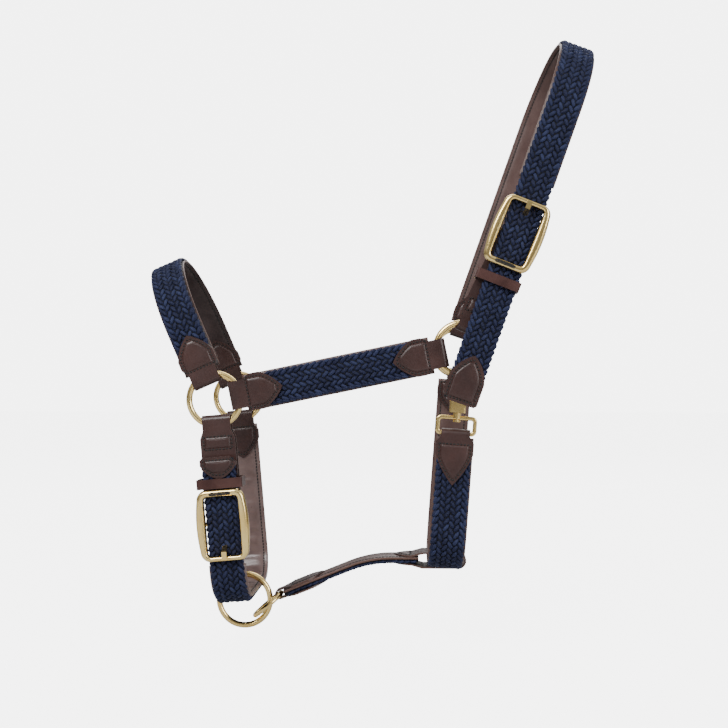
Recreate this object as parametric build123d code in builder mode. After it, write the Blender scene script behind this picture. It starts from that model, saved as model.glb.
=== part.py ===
from build123d import *
import os
from math import cos, sin, radians, sqrt, atan2, degrees

os.makedirs("parts", exist_ok=True)

# ---------------------------------------------------------------- driving dimensions (mm)
# Frame: -X to the nose, +Y to the off (right) side, +Z up.
# Origin: midpoint between the two upper rings, on the axis through their centres.
SIDE_Y = 60.0               # from the middle plane to the ring planes
NOSE_X = -191.0             # nose ring centre
NOSE_Z = -39.0
RING_MEAN_R = 20.0
RING_WIRE_R = 2.4
CHIN_RING_MEAN_R = 21.0
JOWL_RING_MEAN_R = 14.0
JOWL_WIRE_R = 1.9

BRAID_W = 26.0              # plaited webbing
BRAID_T = 3.4
LINING_W = 28.6             # leather lining, a little wider than the braid
LINING_T = 1.8
LEATHER_T = 1.3
CORE_T = BRAID_T + LINING_T
CAVITY_T = CORE_T + 0.4     # room between the two leaves of a chape
NECK_W = 22.0               # chape width where it wraps a ring
CHAPE_W = 29.0
CHAPE_SHOULDER = 30.0       # distances from the ring centre, along the strap
CHAPE_POINT_L = 17.0
CHAPE_BEND_AT = 7.3         # where a point's side is fullest, back from the tip
CHAPE_BEND_SHARE = 0.59
CHAPE_TIP = 54.0
WIRE_PLAY = 0.6
CORE_START = 24.0           # where braid and lining begin inside a chape

CROWN_ANGLE = 70.5          # strap directions in the XZ plane, degrees from +X
CROWN_BILLET_ANGLE = 64.6
CROWN_BUCKLE_ANGLE = 68.0
NOSEBAND_ANGLE = 113.5
CHIN_ANGLE = -85.0
THROAT_ANGLE = -94.3
CROWN_LENGTH = 262.0        # ring centre to the outside of the arch
NOSEBAND_LENGTH = 121.0
NOSEBAND_CORNER = 58.0
CHIN_LENGTH = 160.0
THROAT_LENGTH = 173.0
CROWN_SET_BACK = 10.0       # the buckled half of the crown lies this far behind the ring centre
CROWN_TAIL_END = -40.0
CHIN_TAIL_END = 44.0

BUCKLE_AT = 96.0            # ring centre to buckle bar
BUCKLE_HALF_W = 20.3
BUCKLE_HALF_L = 27.5
BUCKLE_OPEN_HALF_W = 12.9
BUCKLE_BAR_R = 1.5
PRONG_HALF_W = 1.9
PIN_PLAY = 0.06

TAIL_INNER_Y = 7.9          # from the ring plane to the inner face of a buckled strap
BUCKLE_GAP = 0.9            # from that strap to the buckle's end bars
BUCKLE_T = 4.0


# Offsets of the layers from a strap's middle line, outward positive
BRAID_IN = -CORE_T / 2 + LINING_T    # the lining is inside, the braid outside
BRAID_OUT = CORE_T / 2
LINING_IN = -CORE_T / 2

BILLET_W = 27.0             # strap folded round the near ring and the buckle's bar
BILLET_END_W = 24.0
BILLET_TAPER = 12.0
BILLET_BAR_PLAY = 0.85
PRONG_PLAY = 0.5
PRONG_NOTCH = 8.0

BUCKLE_CORNER = 8.0         # buckle frame, its plate recess, posts and prong
BUCKLE_SWELL = 1.6
BUCKLE_EDGE_R = 1.6
PLATE_BAR_W = 5.8
TIP_BAR_W = 4.4
PLATE_L = 17.0
PLATE_W = 3.2
PLATE_DEPTH = 0.6
BUCKLE_POST_X = 16.4
BUCKLE_POST_R = 1.25
PRONG_HALF_T = 1.2
PRONG_EYE_T = 1.5
PRONG_RUN_Y = 5.3           # the prong's straight stretch, just behind the buckled strap
PRONG_PIERCE = 14.0
PRONG_SLIT_START = -3.5
PRONG_SLIT_END = 22.0

CAP_T = 1.1                 # leather caps on the two tails, and the keepers
CROWN_CAP_L = 38.0
CROWN_CAP_POINT = 19.0
CHIN_CAP_L = 17.0
CHIN_CAP_POINT = 11.0
KEEPER_PLAY = 0.5
KEEPER_HALF_W = 16.4
KEEPER_BAND = 7.4

CROWN_LINING_FROM = 138.0   # along the crown and the chin strap
CHIN_LINING_FROM = 127.0
CHIN_CORNER = 26.0
CROWN_CORNER = 60.0
CROWN_KEEPER_AT = 58.0
CHIN_KEEPER_AT = 64.2

SNAP_WIRE_R = 1.6           # snap hook: distances run along the throat strap from the ring
EYE_TOP = 53.0
EYE_BOTTOM = 65.0
EYE_HALF_W = 14.2
THROAT_NECK = 7.0
THROAT_POINT_L = 24.0
THROAT_BEND_AT = 11.3
THROAT_BEND_W = 8.4
THROAT_CORNER = 30.0
HOOK_BEND_R = 5.1           # middle line of the hook round the ring's wire
HOOK_T = 2.2
HOOK_PLAY = 0.3
HOOK_W = 5.0
SHANK_Y = -SIDE_Y - RING_WIRE_R - HOOK_PLAY - HOOK_T / 2
BOLT_Y = SHANK_Y + 2 * HOOK_BEND_R
BODY_W = 12.6
BOLT_R = 1.7
BARREL_R = 3.8
BARREL_FLOOR = 1.5
SPRING_WIRE = 0.25
SPRING_R = 1.25
BARREL_TOP = 30.0
BARREL_END = 49.0
BOLT_TIP = 23.0
BOLT_END = 43.0
BOLT_TRAVEL = 4.0
KNOB_AT = 39.0
KNOB_R = 1.6
SLOT_HALF_W = 1.9

JOWL_LINK_ANGLE = -10.2     # direction and distance from the chin ring's centre to the jowl ring's
JOWL_LINK_AT = 19.8
JOWL_RING_LEAN = 40.0
JOWL_RISE = 22.0            # slope of the jowl strap's front stretch
JOWL_BEND_R = 95.0
JOWL_NECK = 5.0
THROAT_LOOP_HALF = 16.6
THROAT_LOOP_ROOM = 5.2
JOWL_CORE_FROM = JOWL_WIRE_R + 2.2
JOWL_LEAF_L = 40.0
THROAT_LEAF_L = 14.0
JOWL_CHAPE_T = 1.3

UPPER = Vector(0, 0, 0)
NOSE = Vector(NOSE_X, 0, NOSE_Z)


# ---------------------------------------------------------------- planes
def along(angle):
    """Unit vector of a strap direction in the XZ plane."""
    return Vector(cos(radians(angle)), 0, sin(radians(angle)))


def across(angle):
    """Unit vector across a strap's width, in the XZ plane."""
    return Vector(sin(radians(angle)), 0, -cos(radians(angle)))


def loop_plane(centre, angle, near_shift=0.0):
    """Plane that a strap's loop lies in: local x to the off side, local y along the strap."""
    side = Vector(0, 2 * SIDE_Y, 0) - across(angle) * near_shift
    normal = side.cross(along(angle))
    return Plane(origin=centre + across(angle) * (near_shift / 2), x_dir=side, z_dir=normal)


def face_plane(centre, angle, y):
    """Plane of a strap's face: local x across the strap, local y along it."""
    return Plane(origin=centre + Vector(0, y, 0), x_dir=across(angle), z_dir=(0, -1, 0))


def save(name, label):
    """Label a finished piece and write it as its own file."""
    name.part.label = label
    export_step(name.part, f"parts/{label}.step")


# ---------------------------------------------------------------- leather chapes
def chape_outline(plane, tip, half_neck=NECK_W / 2):
    """Shield outline of a chape: neck at the ring, pointed at the far end."""
    half = CHAPE_W / 2
    inner_end = RING_MEAN_R - 9
    with BuildSketch(plane) as outline:
        with BuildLine():
            Polyline(
                (-half_neck, inner_end),
                (half_neck, inner_end),
                (half_neck, CORE_START),
                (half, CHAPE_SHOULDER),
                (half, tip - CHAPE_POINT_L),
            )
            ThreePointArc(
                (half, tip - CHAPE_POINT_L), (half * CHAPE_BEND_SHARE, tip - CHAPE_BEND_AT), (0, tip),
            )
            ThreePointArc(
                (0, tip), (-half * CHAPE_BEND_SHARE, tip - CHAPE_BEND_AT), (-half, tip - CHAPE_POINT_L),
            )
            Polyline(
                (-half, tip - CHAPE_POINT_L), (-half, CHAPE_SHOULDER), (-half_neck, CORE_START),
                (-half_neck, inner_end),
            )
        make_face()
    return outline.sketch


def wire_slot_start(ring_r, wire_r, half_neck=NECK_W / 2):
    """Nearest point to the ring centre that the wire reaches inside the neck's width."""
    return sqrt((ring_r - wire_r) ** 2 - half_neck ** 2) - WIRE_PLAY


def hairpin(plane, x, start, end, thickness):
    """Side outline of a folded strap: a round bend at start, open at end."""
    half = thickness / 2
    with BuildSketch(plane) as outline:
        with BuildLine():
            Line((x - half, end), (x - half, start + half))
            ThreePointArc((x - half, start + half), (x, start), (x + half, start + half))
            Line((x + half, start + half), (x + half, end))
            Line((x + half, end), (x - half, end))
        make_face()
    return outline.sketch


def ring_chape(centre, angle, side, label, tip=CHAPE_TIP, half_neck=NECK_W / 2):
    """Leather chape folded round a cheek ring and stitched over a strap's end."""
    slot = wire_slot_start(RING_MEAN_R, RING_WIRE_R, half_neck)
    thickness = CAVITY_T + 2 * LEATHER_T
    edge = loop_plane(centre, angle)
    with BuildPart() as chape:
        shield = chape_outline(face_plane(centre, angle, side * SIDE_Y), tip, half_neck)
        extrude(shield, amount=thickness / 2, both=True)
        folded = hairpin(edge, side * SIDE_Y, slot - LEATHER_T, tip + 1, thickness)
        extrude(folded, amount=CHAPE_W, both=True, mode=Mode.INTERSECT)
        hollow = hairpin(edge, side * SIDE_Y, slot, tip + 2, CAVITY_T)
        extrude(hollow, amount=CHAPE_W, both=True, mode=Mode.SUBTRACT)
    save(chape, label)
    return chape


# ---------------------------------------------------------------- strap layers
def arch_outline(plane, near_x, far_x, near_start, far_start, top, corner, inner, outer):
    """Closed outline of one layer of an arched strap, between two offsets from its middle line."""
    crest = top - CORE_T / 2
    spring = crest - corner
    near_c = near_x + corner
    far_c = far_x - corner
    near_d = near_x + corner * (1 - sqrt(0.5))
    far_d = far_x - corner * (1 - sqrt(0.5))
    mid_d = spring + corner * sqrt(0.5)
    diagonal = sqrt(0.5)
    with BuildSketch(plane) as outline:
        with BuildLine():
            Line((near_x - outer, near_start), (near_x - outer, spring))
            ThreePointArc(
                (near_x - outer, spring),
                (near_d - outer * diagonal, mid_d + outer * diagonal),
                (near_c, crest + outer),
            )
            Line((near_c, crest + outer), (far_c, crest + outer))
            ThreePointArc(
                (far_c, crest + outer),
                (far_d + outer * diagonal, mid_d + outer * diagonal),
                (far_x + outer, spring),
            )
            Line((far_x + outer, spring), (far_x + outer, far_start))
            Line((far_x + outer, far_start), (far_x + inner, far_start))
            Line((far_x + inner, far_start), (far_x + inner, spring))
            ThreePointArc(
                (far_x + inner, spring),
                (far_d + inner * diagonal, mid_d + inner * diagonal),
                (far_c, crest + inner),
            )
            Line((far_c, crest + inner), (near_c, crest + inner))
            ThreePointArc(
                (near_c, crest + inner),
                (near_d - inner * diagonal, mid_d + inner * diagonal),
                (near_x - inner, spring),
            )
            Line((near_x - inner, spring), (near_x - inner, near_start))
            Line((near_x - inner, near_start), (near_x - outer, near_start))
        make_face()
    return outline.sketch


# ---------------------------------------------------------------- cheek straps
CHEEK_ANGLE = degrees(atan2(-NOSE_Z, -NOSE_X))     # from the nose ring to the upper ring
CHEEK_SPAN = sqrt(NOSE_X ** 2 + NOSE_Z ** 2)
for side, word in ((-1, "near"), (1, "off")):
    ring_chape(NOSE, CHEEK_ANGLE, side, f"{word}_cheek_front_chape")
    ring_chape(UPPER, CHEEK_ANGLE + 180, side, f"{word}_cheek_rear_chape")
    edge = loop_plane(NOSE, CHEEK_ANGLE)
    for layer, width, offset, depth in (
        ("braid", BRAID_W, (BRAID_IN + BRAID_OUT) / 2, BRAID_T),
        ("lining", LINING_W, (LINING_IN + BRAID_IN) / 2, LINING_T),
    ):
        with BuildPart() as strip:
            with BuildSketch(edge):
                with Locations((side * (SIDE_Y + offset), CHEEK_SPAN / 2)):
                    Rectangle(depth, CHEEK_SPAN - 2 * CORE_START)
            extrude(amount=width / 2, both=True)
        save(strip, f"{word}_cheek_{layer}")

# ---------------------------------------------------------------- rings
for centre, place in ((NOSE, "nose"), (UPPER, "upper")):
    for side, word in ((-1, "near"), (1, "off")):
        with BuildPart(Plane(origin=centre + Vector(0, side * SIDE_Y, 0), z_dir=(0, 1, 0))) as ring:
            Torus(RING_MEAN_R, RING_WIRE_R)
        save(ring, f"{word}_{place}_ring")

# ---------------------------------------------------------------- noseband
for angle_side, word in ((-1, "near"), (1, "off")):
    ring_chape(NOSE, NOSEBAND_ANGLE, angle_side, f"noseband_{word}_chape")
for layer, width, inner, outer in (
    ("braid", BRAID_W, BRAID_IN, BRAID_OUT), ("lining", LINING_W, LINING_IN, BRAID_IN),
):
    with BuildPart() as strap:
        arch = arch_outline(loop_plane(NOSE, NOSEBAND_ANGLE), -SIDE_Y, SIDE_Y, CORE_START, CORE_START,
                            NOSEBAND_LENGTH, NOSEBAND_CORNER, inner, outer)
        extrude(arch, amount=width / 2, both=True)
    save(strap, f"noseband_{layer}")


# ---------------------------------------------------------------- buckled straps
def billet(centre, angle, label):
    """Strap folded round the near ring at one end and the buckle's bar at the other."""
    slot = wire_slot_start(RING_MEAN_R, RING_WIRE_R)
    bar_room = BUCKLE_BAR_R + BILLET_BAR_PLAY
    end = BUCKLE_AT + bar_room
    edge = loop_plane(centre, angle)
    half_cavity = CAVITY_T / 2
    with BuildPart() as loop:
        with BuildSketch(face_plane(centre, angle, -SIDE_Y)):
            with BuildLine():
                Polyline(
                    (-NECK_W / 2, slot - LEATHER_T), (NECK_W / 2, slot - LEATHER_T),
                    (NECK_W / 2, CORE_START), (BILLET_W / 2, CHAPE_SHOULDER),
                    (BILLET_W / 2, end - BILLET_TAPER), (BILLET_END_W / 2, end + LEATHER_T),
                    (-BILLET_END_W / 2, end + LEATHER_T), (-BILLET_W / 2, end - BILLET_TAPER),
                    (-BILLET_W / 2, CHAPE_SHOULDER), (-NECK_W / 2, CORE_START),
                    (-NECK_W / 2, slot - LEATHER_T),
                )
            make_face()
        extrude(amount=half_cavity + LEATHER_T, both=True)
        for grow, mode in ((LEATHER_T, Mode.INTERSECT), (0, Mode.SUBTRACT)):
            profile = billet_side(edge, slot - grow, end + grow, half_cavity + grow, bar_room + grow)
            extrude(profile, amount=BILLET_W, both=True, mode=mode)
        with BuildSketch(face_plane(centre, angle, -SIDE_Y)):
            with Locations((0, end)):
                Rectangle(2 * PRONG_HALF_W + 2 * PRONG_PLAY, 2 * PRONG_NOTCH)
        extrude(amount=CHAPE_W, both=True, mode=Mode.SUBTRACT)
    save(loop, f"{label}_billet_leather")
    with BuildPart() as core:
        with BuildSketch(edge):
            with Locations((-SIDE_Y, (CORE_START + BUCKLE_AT - BILLET_TAPER - 3) / 2)):
                Rectangle(CORE_T, BUCKLE_AT - BILLET_TAPER - 3 - CORE_START)
        extrude(amount=(BILLET_W - 1.6) / 2, both=True)
    save(core, f"{label}_billet_braid")


def billet_side(plane, start, end, half, bar_half):
    """Side outline of a billet: round bends at the ring and at the thinner bar end."""
    shoulder = end - bar_half - BILLET_TAPER
    with BuildSketch(plane) as outline:
        with BuildLine():
            ThreePointArc((-SIDE_Y - half, start + half), (-SIDE_Y, start), (-SIDE_Y + half, start + half))
            Line((-SIDE_Y + half, start + half), (-SIDE_Y + half, shoulder))
            Line((-SIDE_Y + half, shoulder), (-SIDE_Y + bar_half, end - bar_half))
            ThreePointArc(
                (-SIDE_Y + bar_half, end - bar_half), (-SIDE_Y, end), (-SIDE_Y - bar_half, end - bar_half),
            )
            Line((-SIDE_Y - bar_half, end - bar_half), (-SIDE_Y - half, shoulder))
            Line((-SIDE_Y - half, shoulder), (-SIDE_Y - half, start + half))
        make_face()
    return outline.sketch


billet(UPPER, CROWN_BILLET_ANGLE, "crown")
billet(NOSE, CHIN_ANGLE, "chin")


def buckle(centre, billet_angle, angle, label):
    """Buckle frame, its centre bar on two posts, and the prong that turns on the bar."""
    bar_at = centre + along(billet_angle) * BUCKLE_AT
    back = SIDE_Y + TAIL_INNER_Y + BRAID_T + BUCKLE_GAP
    front = back + BUCKLE_T
    corner = BUCKLE_CORNER
    with BuildPart() as frame:
        with BuildSketch(face_plane(bar_at, angle, -back)):
            with BuildLine():
                half_l = BUCKLE_HALF_L
                end_w = BUCKLE_HALF_W - BUCKLE_SWELL
                ThreePointArc((-end_w, -half_l + corner), (-BUCKLE_HALF_W, 0), (-end_w, half_l - corner))
                TangentArc((-end_w, half_l - corner), (-end_w + corner, half_l - 0.6), tangent=(0.18, 1))
                ThreePointArc((-end_w + corner, half_l - 0.6), (0, half_l), (end_w - corner, half_l - 0.6))
                TangentArc((end_w, half_l - corner), (end_w - corner, half_l - 0.6), tangent=(-0.18, 1))
                ThreePointArc((end_w, half_l - corner), (BUCKLE_HALF_W, 0), (end_w, -half_l + corner))
                TangentArc((end_w, -half_l + corner), (end_w - corner, -half_l + 0.6), tangent=(-0.18, -1))
                ThreePointArc((end_w - corner, -half_l + 0.6), (0, -half_l), (-end_w + corner, -half_l + 0.6))
                TangentArc((-end_w, -half_l + corner), (-end_w + corner, -half_l + 0.6), tangent=(0.18, -1))
            make_face()
        extrude(amount=BUCKLE_T)
        fillet(frame.edges().group_by(Axis.Y)[0], BUCKLE_EDGE_R)
        opening_l = 2 * BUCKLE_HALF_L - PLATE_BAR_W - TIP_BAR_W
        with BuildSketch(face_plane(bar_at, angle, -back)):
            with Locations((0, (PLATE_BAR_W - TIP_BAR_W) / 2)):
                RectangleRounded(2 * BUCKLE_OPEN_HALF_W, opening_l, 2.5)
        extrude(amount=BUCKLE_T, mode=Mode.SUBTRACT)
        with BuildSketch(face_plane(bar_at, angle, -front)):
            with Locations((0, -BUCKLE_HALF_L + PLATE_BAR_W / 2 + 0.2)):
                SlotOverall(PLATE_L, PLATE_W)
        extrude(amount=-PLATE_DEPTH, mode=Mode.SUBTRACT)
    save(frame, f"{label}_buckle_frame")
    with BuildPart() as bar:
        post_x = BUCKLE_POST_X
        with BuildSketch(Plane(origin=bar_at + Vector(0, -SIDE_Y, 0), x_dir=(0, 1, 0), z_dir=across(angle))):
            Circle(BUCKLE_BAR_R)
        extrude(amount=post_x + BUCKLE_BAR_R, both=True)
        with BuildSketch(face_plane(bar_at, angle, -SIDE_Y)):
            with Locations((-post_x, 0), (post_x, 0)):
                Circle(BUCKLE_POST_R)
        extrude(amount=back - SIDE_Y)
    save(bar, f"{label}_buckle_bar")
    side = Plane(origin=bar_at + Vector(0, -SIDE_Y, 0), x_dir=(0, 1, 0), z_dir=across(angle))
    rest = front - SIDE_Y + PRONG_HALF_T + 0.05
    tip = BUCKLE_HALF_L - TIP_BAR_W / 2 + 0.4
    bend = tip - TIP_BAR_W - 1.0
    with BuildPart() as prong:
        with BuildSketch(side):
            with BuildLine():
                Polyline((0, 0), (-PRONG_RUN_Y, 6), (-PRONG_RUN_Y, PRONG_PIERCE), (-rest, bend), (-rest, tip))
            trace(line_width=2 * PRONG_HALF_T)
            Circle(BUCKLE_BAR_R + PIN_PLAY + PRONG_EYE_T)
        extrude(amount=PRONG_HALF_W, both=True)
        with BuildSketch(side):
            Circle(BUCKLE_BAR_R + PIN_PLAY)
        extrude(amount=PRONG_HALF_W, both=True, mode=Mode.SUBTRACT)
    save(prong, f"{label}_buckle_prong")


buckle(UPPER, CROWN_BILLET_ANGLE, CROWN_BUCKLE_ANGLE, "crown")
buckle(NOSE, CHIN_ANGLE, CHIN_ANGLE, "chin")


# ---------------------------------------------------------------- crown and chin strap
def buckled_strap(plane, angle, centre, label, tail_end, lining_from, length, corner, near_cut):
    """Arched strap whose near half passes through the buckle and ends in a capped tail."""
    tail_x = -(SIDE_Y + TAIL_INNER_Y - BRAID_IN)
    chape = ring_chape(centre, angle, 1, f"{label}_off_chape")
    for layer, width, inner, outer, start in (
        ("braid", BRAID_W, BRAID_IN, BRAID_OUT, tail_end + 1.2),
        ("lining", LINING_W, LINING_IN, BRAID_IN, lining_from),
    ):
        with BuildPart() as strap:
            arch = arch_outline(plane, tail_x, SIDE_Y, start, CORE_START, length, corner, inner, outer)
            extrude(arch, amount=width / 2, both=True)
            add(chape.part, mode=Mode.SUBTRACT)
            if layer == "braid":
                with BuildSketch(near_cut):
                    with Locations((0, (PRONG_SLIT_END + PRONG_SLIT_START) / 2)):
                        Rectangle(2 * PRONG_HALF_W + 2 * PRONG_PLAY, PRONG_SLIT_END - PRONG_SLIT_START)
                extrude(amount=SIDE_Y, mode=Mode.SUBTRACT)
        with BuildPart() as whole:
            add(strap.part.solids().sort_by(SortBy.VOLUME)[-1])
        save(whole, f"{label}_{layer}")


def tail_cap(plane, label, tail_end, tip, point):
    """Leather cap folded over the tail's cut end, pointed towards the buckle."""
    tail_x = SIDE_Y + TAIL_INNER_Y + BRAID_T / 2
    half = BRAID_W / 2 + 0.9
    thickness = BRAID_T + 2 * CAP_T
    face = Plane(origin=plane.from_local_coords((-tail_x, 0, 0)), x_dir=plane.z_dir, z_dir=-plane.x_dir)
    with BuildPart() as cap:
        with BuildSketch(face):
            with BuildLine():
                Polyline(
                    (-half, tip - point), (-half, tail_end + 5), (-half + 5, tail_end),
                    (half - 2, tail_end), (half, tail_end + 2), (half, tip - point),
                )
                ThreePointArc((half, tip - point), (half * 0.62, tip - point * 0.4), (0, tip))
                ThreePointArc((0, tip), (-half * 0.62, tip - point * 0.4), (-half, tip - point))
            make_face()
        extrude(amount=thickness / 2, both=True)
        with BuildSketch(plane):
            with Locations((-tail_x, tail_end + 1.2 + (tip - tail_end))):
                Rectangle(BRAID_T, 2 * (tip - tail_end))
        extrude(amount=BRAID_W, both=True, mode=Mode.SUBTRACT)
    save(cap, f"{label}_tail_cap")


def keeper(centre, angle, at, label, room):
    """Leather band that slides over the billet and the buckled tail."""
    inner_y = CAVITY_T / 2 + LEATHER_T + KEEPER_PLAY
    outer_y = TAIL_INNER_Y + BRAID_T + room
    mid = SIDE_Y + (outer_y - inner_y) / 2
    depth = outer_y + inner_y
    with BuildPart() as band:
        with BuildSketch(Plane(origin=centre + Vector(0, -mid, 0) + along(angle) * at,
                               x_dir=(0, 1, 0), z_dir=along(angle))):
            RectangleRounded(depth + 2 * LEATHER_T, 2 * KEEPER_HALF_W + 2 * LEATHER_T, 2.2)
            RectangleRounded(depth, 2 * KEEPER_HALF_W, 1.0, mode=Mode.SUBTRACT)
        extrude(amount=KEEPER_BAND / 2, both=True)
    save(band, f"{label}_keeper")


crown_plane = loop_plane(UPPER, CROWN_ANGLE, CROWN_SET_BACK)
crown_bar = UPPER + along(CROWN_BILLET_ANGLE) * BUCKLE_AT + Vector(0, -SIDE_Y, 0)
buckled_strap(crown_plane, CROWN_ANGLE, UPPER, "crown", CROWN_TAIL_END, CROWN_LINING_FROM,
              CROWN_LENGTH, CROWN_CORNER, face_plane(crown_bar, CROWN_BUCKLE_ANGLE, 0))
tail_cap(crown_plane, "crown", CROWN_TAIL_END, CROWN_TAIL_END + CROWN_CAP_L, CROWN_CAP_POINT)
keeper(UPPER + across(CROWN_ANGLE) * 6, CROWN_ANGLE - 2, CROWN_KEEPER_AT, "crown", 1.4)
chin_plane = loop_plane(NOSE, CHIN_ANGLE)
chin_bar = NOSE + along(CHIN_ANGLE) * BUCKLE_AT + Vector(0, -SIDE_Y, 0)
buckled_strap(chin_plane, CHIN_ANGLE, NOSE, "chin", CHIN_TAIL_END, CHIN_LINING_FROM,
              CHIN_LENGTH, CHIN_CORNER, face_plane(chin_bar, CHIN_ANGLE, 0))
tail_cap(chin_plane, "chin", CHIN_TAIL_END, CHIN_TAIL_END + CHIN_CAP_L, CHIN_CAP_POINT)
keeper(NOSE, CHIN_ANGLE, CHIN_KEEPER_AT, "chin", 1.9)

# ---------------------------------------------------------------- throat strap and snap hook
throat_plane = loop_plane(UPPER, THROAT_ANGLE)


def throat_at(x, y):
    """Plane square to the throat direction: x across the side plane, y along the strap."""
    return Plane(origin=throat_plane.from_local_coords((-SIDE_Y + x, y, 0)),
                 x_dir=(0, 1, 0), z_dir=along(THROAT_ANGLE))


with BuildPart() as eye:
    with BuildSketch(face_plane(UPPER, THROAT_ANGLE, -SIDE_Y)):
        with Locations((0, (EYE_TOP + EYE_BOTTOM) / 2)):
            RectangleRounded(2 * EYE_HALF_W + 2 * SNAP_WIRE_R, EYE_BOTTOM - EYE_TOP + 2 * SNAP_WIRE_R, 4)
            RectangleRounded(2 * EYE_HALF_W - 2 * SNAP_WIRE_R, EYE_BOTTOM - EYE_TOP - 2 * SNAP_WIRE_R, 1.5,
                             mode=Mode.SUBTRACT)
    extrude(amount=SNAP_WIRE_R, both=True)
    fillet(eye.edges().filter_by(GeomType.LINE, reverse=False).filter_by(Axis.Y, reverse=True), 1.1)
    with BuildSketch(throat_at(0, BARREL_END + 0.4)):
        Circle(3.2)
    extrude(amount=EYE_TOP - BARREL_END)
    with BuildSketch(throat_at(0, BARREL_END + 0.2)):
        Circle(BOLT_R + PIN_PLAY)
    extrude(amount=EYE_TOP - BARREL_END + SNAP_WIRE_R + 0.1, mode=Mode.SUBTRACT)
save(eye, "snap_eye")

with BuildPart() as hook:
    with BuildLine(throat_plane):
        Line((SHANK_Y, BARREL_TOP + 3), (SHANK_Y, RING_MEAN_R))
        ThreePointArc((SHANK_Y, RING_MEAN_R), ((SHANK_Y + BOLT_Y) / 2, RING_MEAN_R - HOOK_BEND_R),
                      (BOLT_Y, RING_MEAN_R))
        Line((BOLT_Y, RING_MEAN_R), (BOLT_Y, BOLT_TIP - 0.3))
    with BuildSketch(throat_at(SHANK_Y + SIDE_Y, BARREL_TOP + 3)):
        RectangleRounded(HOOK_T, HOOK_W, 0.8)
    sweep()
    with BuildSketch(throat_at(BOLT_Y + SIDE_Y, BARREL_TOP)):
        Circle(BARREL_R)
    extrude(amount=BARREL_END - BARREL_TOP)
    with BuildSketch(throat_at((SHANK_Y - HOOK_T / 2 + BOLT_Y - BARREL_R) / 2 + SIDE_Y + 0.6, BARREL_TOP)):
        RectangleRounded(BOLT_Y - BARREL_R - SHANK_Y + HOOK_T / 2 + 1.2, BODY_W, 1.6)
    extrude(amount=BARREL_END - BARREL_TOP)
    with BuildSketch(throat_at(SHANK_Y - HOOK_T / 2 + SIDE_Y, BARREL_TOP)):
        with Locations((0, -BODY_W / 4), (0, BODY_W / 4)):
            Rectangle(1.6, 1.2)
    extrude(amount=BARREL_END - BARREL_TOP - 3, mode=Mode.SUBTRACT)
    with BuildSketch(throat_at(0, BARREL_END)):
        Circle(BOLT_R)
    extrude(amount=EYE_TOP + SNAP_WIRE_R - BARREL_END + 0.2)
    with BuildSketch(throat_at(0, EYE_TOP + SNAP_WIRE_R + 0.2)):
        Circle(3.0)
    extrude(amount=1.4)
    with BuildSketch(throat_at(BOLT_Y + SIDE_Y, BARREL_TOP)):
        Circle(BOLT_R + PIN_PLAY)
    extrude(amount=BARREL_END - BARREL_TOP - BARREL_FLOOR, mode=Mode.SUBTRACT)
    with BuildSketch(face_plane(UPPER, THROAT_ANGLE, BOLT_Y)):
        with Locations((BARREL_R, KNOB_AT + BOLT_TRAVEL / 2)):
            Rectangle(2 * BARREL_R, BOLT_TRAVEL + 2 * SLOT_HALF_W)
    extrude(amount=SLOT_HALF_W, both=True, mode=Mode.SUBTRACT)
save(hook, "snap_hook_body")

with BuildPart() as bolt:
    with BuildSketch(throat_at(BOLT_Y + SIDE_Y, BOLT_TIP)):
        Circle(BOLT_R)
    extrude(amount=BOLT_END - BOLT_TIP)
save(bolt, "snap_bolt")

knob_plane = Plane(origin=throat_plane.from_local_coords((BOLT_Y, KNOB_AT, BOLT_R)),
                   x_dir=(0, 1, 0), z_dir=throat_plane.z_dir)
with BuildPart() as knob:
    with BuildSketch(knob_plane):
        Circle(KNOB_R - 0.4)
    extrude(amount=BARREL_R - BOLT_R + 0.6)
    with BuildSketch(knob_plane.offset(BARREL_R - BOLT_R + 0.6)):
        Circle(KNOB_R + 0.9)
    extrude(amount=2.0)
    with BuildSketch(knob_plane.offset(-0.6)):
        Circle(KNOB_R - 0.4)
    extrude(amount=1.0)
    add(bolt.part, mode=Mode.SUBTRACT)
save(knob, "snap_thumb_knob")

coil_height = BARREL_END - BARREL_FLOOR - BOLT_END - 2 * SPRING_WIRE - 0.2
coil_base = throat_at(BOLT_Y + SIDE_Y, BOLT_END + SPRING_WIRE + 0.1).origin
with BuildPart() as spring:
    with BuildLine() as coil:
        Helix(pitch=coil_height / 4, height=coil_height, radius=SPRING_R, center=coil_base,
              direction=along(THROAT_ANGLE))
    with BuildSketch(Plane(origin=coil.line @ 0, z_dir=coil.line % 0)):
        Circle(SPRING_WIRE)
    sweep(is_frenet=True)
save(spring, "snap_spring")

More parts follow.
